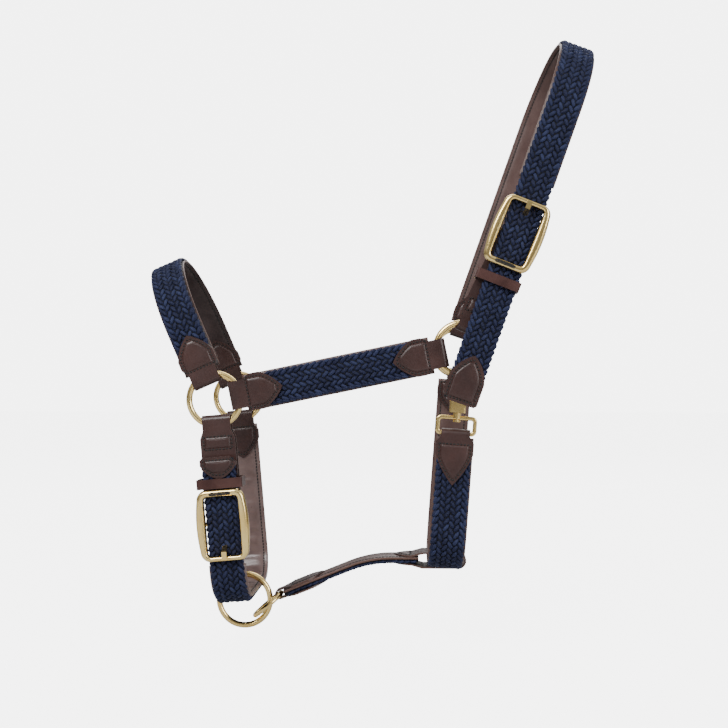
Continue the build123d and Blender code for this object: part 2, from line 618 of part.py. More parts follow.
with BuildPart() as throat_chape:
    start = EYE_BOTTOM - SNAP_WIRE_R - WIRE_PLAY
    tip = start + 42
    neck = 11.0
    flat = face_plane(UPPER, THROAT_ANGLE, -SIDE_Y)
    with BuildSketch(flat):
        with BuildLine():
            Polyline((-neck, start - 2), (neck, start - 2), (neck, start + 4), (CHAPE_W / 2, start + 9),
                     (CHAPE_W / 2, tip - THROAT_POINT_L))
            ThreePointArc(
                (CHAPE_W / 2, tip - THROAT_POINT_L), (THROAT_BEND_W, tip - THROAT_BEND_AT), (0, tip),
            )
            ThreePointArc(
                (0, tip), (-THROAT_BEND_W, tip - THROAT_BEND_AT), (-CHAPE_W / 2, tip - THROAT_POINT_L),
            )
            Polyline((-CHAPE_W / 2, tip - THROAT_POINT_L), (-CHAPE_W / 2, start + 9), (-neck, start + 4),
                     (-neck, start - 2))
        make_face()
    extrude(amount=CAVITY_T / 2 + LEATHER_T, both=True)
    folded = hairpin(throat_plane, -SIDE_Y, start - LEATHER_T, tip + 1, CAVITY_T + 2 * LEATHER_T)
    extrude(folded, amount=CHAPE_W, both=True, mode=Mode.INTERSECT)
    extrude(hairpin(throat_plane, -SIDE_Y, start, tip + 2, CAVITY_T), amount=CHAPE_W, both=True,
            mode=Mode.SUBTRACT)
save(throat_chape, "throat_near_chape")
ring_chape(UPPER, THROAT_ANGLE, 1, "throat_off_chape", CHAPE_TIP, THROAT_NECK)
for layer, width, inner, outer in (
    ("braid", BRAID_W, BRAID_IN, BRAID_OUT), ("lining", LINING_W, LINING_IN, BRAID_IN),
):
    with BuildPart() as strap:
        arch = arch_outline(throat_plane, -SIDE_Y, SIDE_Y, EYE_BOTTOM + SNAP_WIRE_R + 1.5, CORE_START,
                            THROAT_LENGTH, THROAT_CORNER, inner, outer)
        extrude(arch, amount=width / 2, both=True)
    save(strap, f"throat_{layer}")


# ---------------------------------------------------------------- chin ring, jowl ring and jowl strap
CHIN_RING_AT = CHIN_LENGTH - CORE_T + sqrt(
    (CHIN_RING_MEAN_R - RING_WIRE_R) ** 2 - (LINING_W / 2) ** 2) - 0.1
CHIN_RING = NOSE + along(CHIN_ANGLE) * CHIN_RING_AT

jowl_centre = CHIN_RING + along(JOWL_LINK_ANGLE) * JOWL_LINK_AT
jowl_start = jowl_centre + along(JOWL_RING_LEAN) * JOWL_RING_MEAN_R
throat_low = UPPER + along(THROAT_ANGLE) * (THROAT_LENGTH - CORE_T / 2)
side_view = Plane(origin=(0, 0, 0), x_dir=(1, 0, 0), z_dir=(0, -1, 0))

with BuildPart(Plane(origin=CHIN_RING, z_dir=(0, 1, 0))) as chin_ring:
    Torus(CHIN_RING_MEAN_R, RING_WIRE_R)
save(chin_ring, "chin_ring")
with BuildPart(Plane(origin=jowl_centre, z_dir=across(JOWL_RING_LEAN))) as jowl_ring:
    Torus(JOWL_RING_MEAN_R, JOWL_WIRE_R)
save(jowl_ring, "jowl_ring")

JOWL_FLAT_Z = throat_low.Z
BEND_DROP = JOWL_BEND_R * (1 - cos(radians(JOWL_RISE)))
BEND_RUN = JOWL_BEND_R * sin(radians(JOWL_RISE))
JOWL_CORE_END_X = throat_low.X - THROAT_LOOP_HALF - 4.0

bend_start_z = JOWL_FLAT_Z - BEND_DROP
slope_l = (bend_start_z - jowl_start.Z) / sin(radians(JOWL_RISE))
bend_start = (jowl_start.X + slope_l * cos(radians(JOWL_RISE)), bend_start_z)
bend_centre = (bend_start[0] + BEND_RUN, JOWL_FLAT_Z - JOWL_BEND_R)


def jowl_point(distance, offset):
    """Point on the jowl strap's front stretch, offset square to it."""
    rise = radians(JOWL_RISE)
    return (
        jowl_start.X + distance * cos(rise) - offset * sin(rise),
        jowl_start.Z + distance * sin(rise) + offset * cos(rise),
    )


def jowl_bend(turn, offset):
    """Point on the jowl strap's bend, from JOWL_RISE at its start to 0 at its end."""
    return (
        bend_centre[0] - (JOWL_BEND_R + offset) * sin(radians(turn)),
        bend_centre[1] + (JOWL_BEND_R + offset) * cos(radians(turn)),
    )


def jowl_layer(start, end_x, inner, outer):
    """Side outline of a layer of the jowl strap between two offsets from its middle line."""
    with BuildSketch(side_view) as outline:
        with BuildLine():
            Line(jowl_point(start, outer), jowl_point(slope_l, outer))
            ThreePointArc(jowl_point(slope_l, outer), jowl_bend(JOWL_RISE / 2, outer), jowl_bend(0, outer))
            Line(jowl_bend(0, outer), (end_x, JOWL_FLAT_Z + outer))
            Line((end_x, JOWL_FLAT_Z + outer), (end_x, JOWL_FLAT_Z + inner))
            Line((end_x, JOWL_FLAT_Z + inner), jowl_bend(0, inner))
            ThreePointArc(jowl_bend(0, inner), jowl_bend(JOWL_RISE / 2, inner), jowl_point(slope_l, inner))
            Line(jowl_point(slope_l, inner), jowl_point(start, inner))
            Line(jowl_point(start, inner), jowl_point(start, outer))
        make_face()
    return outline.sketch


for layer, width, inner, outer in (
    ("braid", BRAID_W, -BRAID_OUT, -BRAID_IN), ("lining", LINING_W, -BRAID_IN, -LINING_IN),
):
    with BuildPart() as strap:
        extrude(jowl_layer(JOWL_CORE_FROM, JOWL_CORE_END_X, inner, outer), amount=width / 2, both=True)
    save(strap, f"jowl_{layer}")

jowl_side = Plane(origin=jowl_start, x_dir=across(JOWL_RISE), z_dir=(0, -1, 0))
jowl_top = Plane(origin=jowl_start, x_dir=(0, 1, 0), z_dir=across(JOWL_RISE))
wire_sag = JOWL_RING_MEAN_R - sqrt((JOWL_RING_MEAN_R - JOWL_WIRE_R) ** 2 - JOWL_NECK ** 2)
with BuildPart() as jowl_chape:
    half = CHAPE_W / 2
    start = -wire_sag - WIRE_PLAY
    tip = JOWL_LEAF_L
    with BuildSketch(jowl_top):
        with BuildLine():
            Polyline((-JOWL_NECK, start - 2), (JOWL_NECK, start - 2), (JOWL_NECK, 4), (half, 12),
                     (half, tip - 13))
            ThreePointArc((half, tip - 13), (half * 0.62, tip - 5), (0, tip))
            ThreePointArc((0, tip), (-half * 0.62, tip - 5), (-half, tip - 13))
            Polyline((-half, tip - 13), (-half, 12), (-JOWL_NECK, 4), (-JOWL_NECK, start - 2))
        make_face()
    extrude(amount=CAVITY_T / 2 + JOWL_CHAPE_T, both=True)
    folded = hairpin(jowl_side, 0, start - JOWL_CHAPE_T, tip + 1, CAVITY_T + 2 * JOWL_CHAPE_T)
    extrude(folded, amount=CHAPE_W, both=True, mode=Mode.INTERSECT)
    extrude(hairpin(jowl_side, 0, start, tip + 2, CAVITY_T), amount=CHAPE_W, both=True, mode=Mode.SUBTRACT)
save(jowl_chape, "jowl_front_chape")


def throat_loop_side(grow):
    """Side outline of the jowl strap's loop round the throat strap, grown by a leather thickness."""
    room = THROAT_LOOP_ROOM + grow
    flat = CAVITY_T / 2 + grow
    x = throat_low.X
    z = throat_low.Z
    rear = x + THROAT_LOOP_HALF + grow
    round_x = rear - 4.0 - grow
    leaf_x = x - THROAT_LOOP_HALF - 12 - THROAT_LEAF_L - 3 * (1 if grow == 0 else 0)
    with BuildSketch(side_view) as outline:
        with BuildLine():
            Polyline((leaf_x, z + flat), (x - THROAT_LOOP_HALF - 10, z + flat),
                     (x - THROAT_LOOP_HALF - grow, z + room), (round_x, z + room))
            ThreePointArc((round_x, z + room), (rear, z), (round_x, z - room))
            Polyline((round_x, z - room), (x - THROAT_LOOP_HALF - grow, z - room),
                     (x - THROAT_LOOP_HALF - 10, z - flat), (leaf_x, z - flat), (leaf_x, z + flat))
        make_face()
    return outline.sketch


with BuildPart() as throat_loop:
    half = CHAPE_W / 2 - 1
    leaf_tip = throat_low.X - THROAT_LOOP_HALF - 10 - THROAT_LEAF_L
    with BuildSketch(Plane(origin=throat_low)):
        with BuildLine():
            x0 = leaf_tip - throat_low.X
            Polyline((x0 + 13, -half), (THROAT_LOOP_HALF + 6, -half), (THROAT_LOOP_HALF + 6, half),
                     (x0 + 13, half))
            ThreePointArc((x0 + 13, half), (x0 + 5, half * 0.62), (x0, 0))
            ThreePointArc((x0, 0), (x0 + 5, -half * 0.62), (x0 + 13, -half))
        make_face()
    extrude(amount=12, both=True)
    extrude(throat_loop_side(JOWL_CHAPE_T), amount=CHAPE_W, both=True, mode=Mode.INTERSECT)
    extrude(throat_loop_side(0), amount=CHAPE_W, both=True, mode=Mode.SUBTRACT)
save(throat_loop, "jowl_throat_loop")
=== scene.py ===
import bpy
import random
from math import atan2, cos, degrees, pi, radians, sin, sqrt
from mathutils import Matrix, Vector


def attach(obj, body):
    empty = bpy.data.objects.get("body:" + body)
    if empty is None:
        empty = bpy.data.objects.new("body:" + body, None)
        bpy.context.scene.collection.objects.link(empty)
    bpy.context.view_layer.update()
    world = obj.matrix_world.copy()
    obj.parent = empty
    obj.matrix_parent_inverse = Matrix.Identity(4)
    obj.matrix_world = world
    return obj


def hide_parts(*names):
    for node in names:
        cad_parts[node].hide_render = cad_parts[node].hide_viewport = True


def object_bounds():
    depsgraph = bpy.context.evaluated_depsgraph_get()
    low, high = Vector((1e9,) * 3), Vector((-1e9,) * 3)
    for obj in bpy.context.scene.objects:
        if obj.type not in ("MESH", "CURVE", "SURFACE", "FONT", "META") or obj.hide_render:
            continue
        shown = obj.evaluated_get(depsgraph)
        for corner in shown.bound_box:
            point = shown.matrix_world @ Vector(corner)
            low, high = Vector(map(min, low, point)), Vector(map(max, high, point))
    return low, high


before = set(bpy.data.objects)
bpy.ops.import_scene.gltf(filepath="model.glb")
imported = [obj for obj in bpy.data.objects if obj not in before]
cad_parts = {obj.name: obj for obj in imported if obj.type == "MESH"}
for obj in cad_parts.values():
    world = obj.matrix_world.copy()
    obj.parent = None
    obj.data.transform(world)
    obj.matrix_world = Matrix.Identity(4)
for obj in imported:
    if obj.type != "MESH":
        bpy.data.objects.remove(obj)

cad_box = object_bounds()
random.seed(7)
MM = 0.001

# ---------------------------------------------------------------- sizes shared with the CAD (mm)
# -X is to the nose and +Y to the off side. The origin is midway between the two upper rings.
SIDE_Y = 60.0               # from the middle plane to the ring planes
RING_WIRE_R = 2.4
CHIN_RING_MEAN_R = 21.0
JOWL_RING_MEAN_R = 14.0

BRAID_W = 26.0              # plaited webbing
BRAID_T = 3.4
LINING_W = 28.6             # leather lining, a little wider than the plait
LINING_T = 1.8
LEATHER_T = 1.3
CAP_T = 1.1                 # leather caps on the two tails
CORE_T = BRAID_T + LINING_T
CAVITY_T = CORE_T + 0.4     # room between the two leaves of a chape
CHAPE_W = 29.0
CHAPE_NECK = 27.0           # distances from the ring centre, along the strap
CHAPE_TIP = 54.0
CHAPE_POINT_L = 17.0
CORE_START = 24.0           # where plait and lining begin inside a chape
BRAID_IN = -CORE_T / 2 + LINING_T
LINING_IN = -CORE_T / 2

CROWN_ANGLE = 70.5          # strap directions in the XZ plane, degrees from +X
CROWN_BILLET_ANGLE = 64.6
CROWN_BUCKLE_ANGLE = 68.0
CROWN_KEEPER_ANGLE = 68.5
NOSEBAND_ANGLE = 113.5
CHIN_ANGLE = -85.0
THROAT_ANGLE = -94.3
CROWN_LENGTH = 262.0        # ring centre to the outside of the arch
NOSEBAND_LENGTH = 121.0
CHIN_LENGTH = 160.0
THROAT_LENGTH = 173.0
CROWN_CORNER = 60.0         # bend radius at an arch's corners
NOSEBAND_CORNER = 58.0
CHIN_CORNER = 26.0
THROAT_CORNER = 30.0
CROWN_SET_BACK = 10.0       # the crown's buckled side lies this far behind the ring centre

TAIL_INNER_Y = 7.9          # from the ring plane to the inner face of a buckled strap
TAIL_X = -(SIDE_Y + TAIL_INNER_Y - BRAID_IN)
TAIL_MID = SIDE_Y + TAIL_INNER_Y + BRAID_T / 2
CROWN_TAIL_START = -38.8    # where the plait of a buckled strap begins, from the ring centre
CHIN_TAIL_START = 45.2
CROWN_LINING_FROM = 138.0   # where its lining begins, from the ring centre
CHIN_LINING_FROM = 127.0
CROWN_BARE_L = 172.0        # how much of its plait shows on the inner side too
CHIN_BARE_L = 77.0

NOSE_X = -191.0
NOSE_Z = -39.0
UPPER = Vector((0, 0, 0))
NOSE = Vector((NOSE_X, 0, NOSE_Z))
CHEEK_ANGLE = degrees(atan2(-NOSE_Z, -NOSE_X))
CHEEK_SPAN = sqrt(NOSE_X ** 2 + NOSE_Z ** 2)


def along(angle):
    """Direction of a strap in the XZ plane."""
    return Vector((cos(radians(angle)), 0, sin(radians(angle))))


def across(angle):
    """Direction across a strap's width."""
    return Vector((sin(radians(angle)), 0, -cos(radians(angle))))


# ---------------------------------------------------------------- materials
# A tone is a dark and a light colour. Stops are places on a ramp with their colours.
CHOCOLATE = ((0.021, 0.0074, 0.0063), (0.047, 0.0195, 0.0165))
CHOCOLATE_EDGE = (0.085, 0.043, 0.034)
LINING_TONE = ((0.060, 0.0330, 0.0290), (0.110, 0.0680, 0.0610))
LINING_EDGE = (0.105, 0.056, 0.044)
NOSEBAND_LINING_TONE = ((0.02, 0.011, 0.011), (0.05, 0.032, 0.031))
CHIN_LINING_TONE = ((0.085, 0.052, 0.047), (0.17, 0.115, 0.106))
KEEPER_TONE = ((0.04, 0.018, 0.016), (0.085, 0.042, 0.037))
STRAND_STOPS = (
    (0.0, (0.0050, 0.0060, 0.022)),
    (0.55, (0.0085, 0.0108, 0.036)),
    (1.0, (0.021, 0.028, 0.074)),
)
FIBRE_STOPS = ((0.35, (0.0025, 0.005, 0.018)), (0.75, (0.040, 0.050, 0.115)))
FIBRE_SHARE = 0.33
# Painted shade: the plait's core is coloured near black so that the gaps between its cords look shaded.
PLAIT_CORE_SHADE_STOPS = ((0.3, (0.0008, 0.001, 0.003)), (0.7, (0.002, 0.0028, 0.007)))
THREAD_STOPS = ((0.3, (0.0015, 0.0007, 0.0006)), (0.7, (0.005, 0.0025, 0.002)))
BRASS_STOPS = ((0.3, (0.91, 0.64, 0.23)), (0.7, (0.98, 0.76, 0.33)))
SPRING_STOPS = ((0.3, (0.4, 0.4, 0.4)), (0.7, (0.6, 0.6, 0.6)))
ENAMEL_STOPS = ((0.52, (0.0015, 0.0012, 0.001)), (0.68, (0.10, 0.07, 0.03)))
CUT_EDGE_FROM = 0.75        # how squarely a face must look sideways to count as a cut edge


def shader(name, roughness, metallic=0.0):
    """New node material with its Principled shader; returns material, node tree and shader."""
    material = bpy.data.materials.new(name)
    material.use_nodes = True
    tree = material.node_tree
    principled = tree.nodes["Principled BSDF"]
    principled.inputs["Roughness"].default_value = roughness
    principled.inputs["Metallic"].default_value = metallic
    return material, tree, principled


def noise(tree, scale, detail):
    """Noise on object coordinates."""
    coords = tree.nodes.new("ShaderNodeTexCoord")
    texture = tree.nodes.new("ShaderNodeTexNoise")
    texture.inputs["Scale"].default_value = scale
    texture.inputs["Detail"].default_value = detail
    tree.links.new(coords.outputs["Object"], texture.inputs["Vector"])
    return texture.outputs["Fac"]


def ramp(tree, source, stops):
    """Colour ramp from a value output."""
    node = tree.nodes.new("ShaderNodeValToRGB")
    tree.links.new(source, node.inputs["Fac"])
    elements = node.color_ramp.elements
    for element, (place_at, colour) in zip(elements, stops):
        element.position = place_at
        element.color = (*colour, 1)
    for place_at, colour in stops[2:]:
        elements.new(place_at).color = (*colour, 1)
    return node.outputs["Color"]


def bump(tree, principled, source, distance, strength):
    """Bump from a height output."""
    node = tree.nodes.new("ShaderNodeBump")
    node.inputs["Distance"].default_value = distance
    node.inputs["Strength"].default_value = strength
    tree.links.new(source, node.inputs["Height"])
    tree.links.new(node.outputs["Normal"], principled.inputs["Normal"])


def mix(tree, factor, first, second):
    """Mixes two colours by a factor. Each is a socket or a plain value."""
    node = tree.nodes.new("ShaderNodeMix")
    node.data_type = "RGBA"
    for value, socket in ((factor, node.inputs[0]), (first, node.inputs[6]), (second, node.inputs[7])):
        if isinstance(value, float):
            socket.default_value = value
        elif isinstance(value, tuple):
            socket.default_value = (*value, 1)
        else:
            tree.links.new(value, socket)
    return node.outputs[2]


def vary_roughness(tree, principled, source, low, high):
    """Roughness that follows a value output between two limits."""
    spread = tree.nodes.new("ShaderNodeMapRange")
    spread.inputs["To Min"].default_value = low
    spread.inputs["To Max"].default_value = high
    tree.links.new(source, spread.inputs["Value"])
    tree.links.new(spread.outputs["Result"], principled.inputs["Roughness"])


def cut_edge(tree, direction):
    """1 where the surface faces along a direction, as a strap's cut edges do."""
    geometry = tree.nodes.new("ShaderNodeNewGeometry")
    dot = tree.nodes.new("ShaderNodeVectorMath")
    dot.operation = "DOT_PRODUCT"
    dot.inputs[1].default_value = direction
    size = tree.nodes.new("ShaderNodeMath")
    size.operation = "ABSOLUTE"
    above = tree.nodes.new("ShaderNodeMath")
    above.operation = "GREATER_THAN"
    above.inputs[1].default_value = CUT_EDGE_FROM
    tree.links.new(geometry.outputs["True Normal"], dot.inputs[0])
    tree.links.new(dot.outputs["Value"], size.inputs[0])
    tree.links.new(size.outputs[0], above.inputs[0])
    return above.outputs[0]


def leather(name, edge_direction, tone=CHOCOLATE, edge=CHOCOLATE_EDGE, roughness=0.35, gloss_level=0.46):
    """Fine-grained leather with a paler cut edge."""
    material, tree, principled = shader(name, roughness)
    dark, light = tone
    face = ramp(tree, noise(tree, 45, 4), ((0.3, dark), (0.75, light)))
    colour = mix(tree, cut_edge(tree, edge_direction), face, edge)
    tree.links.new(colour, principled.inputs["Base Color"])
    bump(tree, principled, noise(tree, 900, 5), 0.00025, 0.45)
    vary_roughness(tree, principled, noise(tree, 130, 3), roughness - 0.08, roughness + 0.1)
    principled.inputs["Specular IOR Level"].default_value = gloss_level
    principled.inputs["Sheen Weight"].default_value = 0.04
    principled.inputs["Sheen Roughness"].default_value = 0.4
    return material


def cord_material():
    """Navy cord: each strand has its own tone over fine twisted yarn."""
    material, tree, principled = shader("navy_cord", 0.62)
    geometry = tree.nodes.new("ShaderNodeNewGeometry")
    strand = ramp(tree, geometry.outputs["Random Per Island"], STRAND_STOPS)
    fibres = noise(tree, 1300, 2)
    colour = mix(tree, FIBRE_SHARE, strand, ramp(tree, fibres, FIBRE_STOPS))
    tree.links.new(colour, principled.inputs["Base Color"])
    bump(tree, principled, fibres, 0.0005, 0.8)
    principled.inputs["Specular IOR Level"].default_value = 0.18
    principled.inputs["Sheen Weight"].default_value = 0.02
    principled.inputs["Sheen Tint"].default_value = (0.5, 0.6, 0.9, 1)
    return material


def brass_material():
    """Pale polished brass with faint rubbing marks."""
    material, tree, principled = shader("polished_brass", 0.22, 1.0)
    tree.links.new(ramp(tree, noise(tree, 60, 3), BRASS_STOPS), principled.inputs["Base Color"])
    marks = noise(tree, 420, 4)
    vary_roughness(tree, principled, marks, 0.13, 0.24)
    bump(tree, principled, marks, 0.00006, 0.25)
    return material


def mottled(name, roughness, scale, detail, stops, metallic=0.0, bump_height=0.0):
    """Finely mottled material, with a matching bump where it has a height."""
    material, tree, principled = shader(name, roughness, metallic)
    mottle = noise(tree, scale, detail)
    tree.links.new(ramp(tree, mottle, stops), principled.inputs["Base Color"])
    if bump_height:
        bump(tree, principled, mottle, bump_height, 0.5)
    return material


cord_mat = cord_material()
# The core's near-black colour is painted shade between the cords.
core_shade_mat = mottled("plait_core_painted_shade", 0.95, 900, 2, PLAIT_CORE_SHADE_STOPS)
brass_mat = brass_material()
thread_mat = mottled("stitch_thread", 0.6, 800, 2, THREAD_STOPS, bump_height=0.0001)
inlay_mat = mottled("dark_enamel", 0.45, 700, 3, ENAMEL_STOPS, bump_height=0.0002)
spring_mat = mottled("spring_wire", 0.3, 500, 2, SPRING_STOPS, metallic=1.0)


def dress(node, material):
    """Gives a CAD node a detailed material."""
    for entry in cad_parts[node].material_slots:
        entry.material = material


# ---------------------------------------------------------------- strap routes
# A run is a strap's length and a function from a distance along it to its point, outward
# direction and direction across.
def arch_run(centre, angle, near_x, far_x, near_start, far_start, top, corner, set_back=0.0):
    """Run of an arched strap: up one side, over two round corners and down the other side."""
    side = (Vector((0, 2 * SIDE_Y, 0)) - across(angle) * set_back).normalized()
    up = along(angle)
    origin = centre + across(angle) * (set_back / 2)
    width = side.cross(up)
    crest = top - CORE_T / 2
    spring = crest - corner
    rise = spring - near_start
    quarter = corner * pi / 2
    level = far_x - near_x - 2 * corner
    fall = spring - far_start

    def at(s):
        if s <= rise:
            x, y, out = near_x, near_start + s, (-1, 0)
        elif s <= rise + quarter:
            turn = (s - rise) / corner
            x, y = near_x + corner - corner * cos(turn), spring + corner * sin(turn)
            out = (-cos(turn), sin(turn))
        elif s <= rise + quarter + level:
            x, y, out = near_x + corner + s - rise - quarter, crest, (0, 1)
        elif s <= rise + quarter + level + quarter:
            turn = (s - rise - quarter - level) / corner
            x, y = far_x - corner + corner * sin(turn), spring + corner * cos(turn)
            out = (sin(turn), cos(turn))
        else:
            x, y, out = far_x, spring - (s - rise - quarter - level - quarter), (1, 0)
        return origin + side * x + up * y, side * out[0] + up * out[1], width
    return rise + quarter + level + quarter + fall, at


def straight_run(start, end, out, width):
    """Run of a straight strap."""
    length = (end - start).length

    def at(s):
        return start.lerp(end, s / length), out, width
    return length, at


RUN_MARGIN = 0.01


def place(run, s, u, h):
    """Point on a strap, in metres: s along it, u across it, h outward from its middle line."""
    length, at = run
    point, out, width = at(min(max(s, RUN_MARGIN), length - RUN_MARGIN))
    return (point + width * u + out * h) * MM


# ---------------------------------------------------------------- mesh helpers
def finish_piece(name, points, faces, material, body, replaces=(), smooth=True):
    """Makes a mesh piece that rides on a body and replaces CAD nodes."""
    mesh = bpy.data.meshes.new(name)
    mesh.from_pydata([tuple(p) for p in points], [], faces)
    mesh.materials.append(material)
    mesh.polygons.foreach_set("use_smooth", [smooth] * len(mesh.polygons))
    mesh.update()
    piece = bpy.data.objects.new(name, mesh)
    bpy.context.scene.collection.objects.link(piece)
    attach(piece, body)
    if replaces:
        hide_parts(*replaces)
    return piece


def add_tube_faces(faces, first, rings, sides):
    """Adds the side faces between rings of points."""
    for ring in range(rings):
        for k in range(sides):
            a = first + ring * sides + k
            b = first + ring * sides + (k + 1) % sides
            faces.append((a, b, b + sides, a + sides))


CORD_SIDES = 7
CORD_RINGS = 6
CORD_BLUNTNESS = 3.4        # how late a bulge narrows towards its ends
CORD_DIP = 0.75             # how deep its ends sink, in half heights


def add_cord(points, faces, put, centre_s, centre_u, half_length, half_width, half_height, lean):
    """Adds one bulge of a cord, lying at an angle to the strap."""
    first = len(points)
    for ring in range(CORD_RINGS + 1):
        t = -1 + 2 * ring / CORD_RINGS
        girth = max(0.0, 1 - abs(t) ** CORD_BLUNTNESS) ** 0.5
        dip = -CORD_DIP * t * t
        for k in range(CORD_SIDES):
            turn = 2 * pi * k / CORD_SIDES
            v = half_width * girth * cos(turn)
            h = half_height * (girth * sin(turn) + dip)
            ds = half_length * t * cos(lean) - v * sin(lean)
            du = half_length * t * sin(lean) + v * cos(lean)
            points.append(put(centre_s + ds, centre_u + du, h))
    add_tube_faces(faces, first, CORD_RINGS, CORD_SIDES)


SLAB_STEP = 3.0


def add_slab(points, faces, put, start, end, half_u, low, high):
    """Adds a closed flat slab along a strap between two heights."""
    count = max(2, int((end - start) / SLAB_STEP))
    first = len(points)
    for i in range(count + 1):
        s = start + (end - start) * i / count
        for u, h in ((-half_u, low), (half_u, low), (half_u, high), (-half_u, high)):
            points.append(put(s, u, h))
    add_tube_faces(faces, first, count, 4)
    faces.append((first, first + 3, first + 2, first + 1))
    last = first + 4 * count
    faces.append((last, last + 1, last + 2, last + 3))


# ---------------------------------------------------------------- plait
PLAIT_COLUMNS = 6
PLAIT_PITCH = 5.2
PLAIT_SIDE_ROOM = 1.6       # width that the columns leave at the two edges together
PLAIT_FIRST_AT = 3.0        # first cord's middle, from the plait's end
PLAIT_LAST_AT = 2.0         # nearest that a cord's middle comes to the far end
PLAIT_CORE_IN = 1.0         # how far the core, near black with painted shade, lies in from the plait's edges and its faces
PLAIT_CORE_DOWN = 1.2
PLAIT_CORE_UP_BARE = 0.9
PLAIT_CORE_UP_LINED = 0.05
CORD_HALF_L = 3.75
CORD_HALF_W = 1.5
CORD_HALF_H = 1.2
CORD_LEAN = radians(34)
CORD_PROUD = 0.3
CORD_LEAN_SPREAD = 0.07
CORD_LIFT_SPREAD = 0.12
CORD_PLACE_SPREAD = 0.2
EDGE_CORD_SIZE = (3.5, 1.25, 1.3)
EDGE_CORD_LEAN = radians(16)
EDGE_CORD_LEAN_SPREAD = 0.06
EDGE_CORD_IN = 1.15
EDGE_CORD_LIFT = 0.35       # above the plait's middle, where a lining covers its inner side


def scatter(spread):
    """Random number between -spread and spread."""
    return random.uniform(-spread, spread)


def braid(name, body, node, run, start, end, low=BRAID_IN, bare_until=None, width=BRAID_W):
    """Plaited webbing: a core coloured near black as painted shade for the gaps between the cords, under a
    herringbone of cords, with cords turning at its edges.

    Up to bare_until the inner side has no lining over it and is plaited too.
    """
    points, faces = [], []

    def put(s, u, h):
        return place(run, s, u, h)

    top = low + BRAID_T
    core_low = low + (PLAIT_CORE_UP_BARE if bare_until else PLAIT_CORE_UP_LINED)
    add_slab(points, faces, put, start, end, width / 2 - PLAIT_CORE_IN, core_low, top - PLAIT_CORE_DOWN)
    core_faces = len(faces)
    rows = int((end - start) / PLAIT_PITCH)
    column_w = (width - PLAIT_SIDE_ROOM) / PLAIT_COLUMNS
    sides = [(1, top - CORD_HALF_H + CORD_PROUD)]
    if bare_until:
        sides.append((-1, low + CORD_HALF_H - CORD_PROUD))
    for face, height in sides:
        for row in range(rows + 1):
            for column in range(PLAIT_COLUMNS):
                s = start + PLAIT_FIRST_AT + row * PLAIT_PITCH + (PLAIT_PITCH / 2 if column % 2 else 0)
                if s > end - PLAIT_LAST_AT or (face < 0 and s > bare_until):
                    continue
                u = (column - (PLAIT_COLUMNS - 1) / 2) * column_w
                lean = (CORD_LEAN if column % 2 else -CORD_LEAN) + scatter(CORD_LEAN_SPREAD)
                lift = scatter(CORD_LIFT_SPREAD)
                add_cord(
                    points, faces, lambda a, b, c: put(a, b, height + face * (c + lift)),
                    s + scatter(CORD_PLACE_SPREAD), u, CORD_HALF_L, CORD_HALF_W, CORD_HALF_H, lean)
    edge_h = (low + top) / 2 + (0.0 if bare_until else EDGE_CORD_LIFT)
    for edge in (-1, 1):
        edge_u = edge * (width / 2 - EDGE_CORD_IN)
        for row in range(rows + 1):
            s = start + PLAIT_FIRST_AT + row * PLAIT_PITCH + PLAIT_PITCH / 2
            if s > end - PLAIT_LAST_AT:
                continue
            lean = edge * EDGE_CORD_LEAN + scatter(EDGE_CORD_LEAN_SPREAD)
            add_cord(
                points, faces, lambda a, b, c: put(a, edge_u + b, edge_h + c),
                s, 0.0, *EDGE_CORD_SIZE, lean)
    piece = finish_piece(name, points, faces, cord_mat, body, (node,))
    # The core faces take the near-black material, painted shade between the cords.
    piece.data.materials.append(core_shade_mat)
    for polygon in piece.data.polygons[:core_faces]:
        polygon.material_index = 1


# ---------------------------------------------------------------- lining and stitches
LINING_STEP = 2.5
# Half of a lining's inner face: distance from its edge and depth. The stitches lie in the dip.
LINING_FACE = ((0.0, 0.55), (0.15, 0.15), (0.6, 0.0), (2.9, 0.12), (3.7, 0.42), (4.6, 0.05), (7.5, -0.4),
               (10.5, -0.55))
LINING_MIDDLE_DEPTH = -0.6
LINING_SIDE_DEPTH = 1.3
LINING_BACK_IN = 0.3
LINING_BACK_DEPTH = LINING_T - 0.02
LINING_LEAST_DEPTH = -1.4
PUCKER_MARGIN = 4.7         # the stitched edges don't pucker
STITCH_PITCH = 2.7
LINING_STITCH_IN = 3.6
LINING_STITCH_GAP = 2.0
LINING_STITCH_LIFT = 0.1
LINING_STITCH_SIZE = (1.15, 0.5, 0.42)
LINING_STITCH_LEAN = 0.12
LINING_END_GAP = 0.5


def ripple(s):
    """Uneven wave along a strap, between -1 and 1."""
    return sin(s * 0.62) * 0.6 + sin(s * 0.37 + 1.0) * 0.4


def lining(name, body, node, run, start, end, direction, tone=LINING_TONE, pucker=0.0, roughness=0.38,
           gloss_level=0.32):
    """Leather lining with rounded edges; its stitched margins sink a little and its middle is padded."""
    count = max(4, int((end - start) / LINING_STEP))
    half = LINING_W / 2
    left = [(inset - half, depth) for inset, depth in LINING_FACE]
    right = [(-u, depth) for u, depth in reversed(left)]
    back = half - LINING_BACK_IN
    profile = left + [(0, LINING_MIDDLE_DEPTH)] + right
    profile += [(half, LINING_SIDE_DEPTH), (back, LINING_BACK_DEPTH)]
    profile += [(-back, LINING_BACK_DEPTH), (-half, LINING_SIDE_DEPTH)]
    points, faces = [], []
    for i in range(count + 1):
        s = start + (end - start) * i / count
        wave = pucker * ripple(s)
        for u, depth in profile:
            give = wave if abs(u) < half - PUCKER_MARGIN else 0
            points.append(place(run, s, u, LINING_IN + max(depth + give, LINING_LEAST_DEPTH)))
    sides = len(profile)
    add_tube_faces(faces, 0, count, sides)
    faces.append(tuple(reversed(range(sides))))
    faces.append(tuple(range(count * sides, count * sides + sides)))
    material = leather(name + "_leather", direction, tone, LINING_EDGE, roughness, gloss_level)
    finish_piece(name, points, faces, material, body, (node,))
    stitches(name + "_stitches", body, run, start + LINING_STITCH_GAP, end - LINING_STITCH_GAP,
             half - LINING_STITCH_IN, LINING_IN + LINING_STITCH_LIFT)


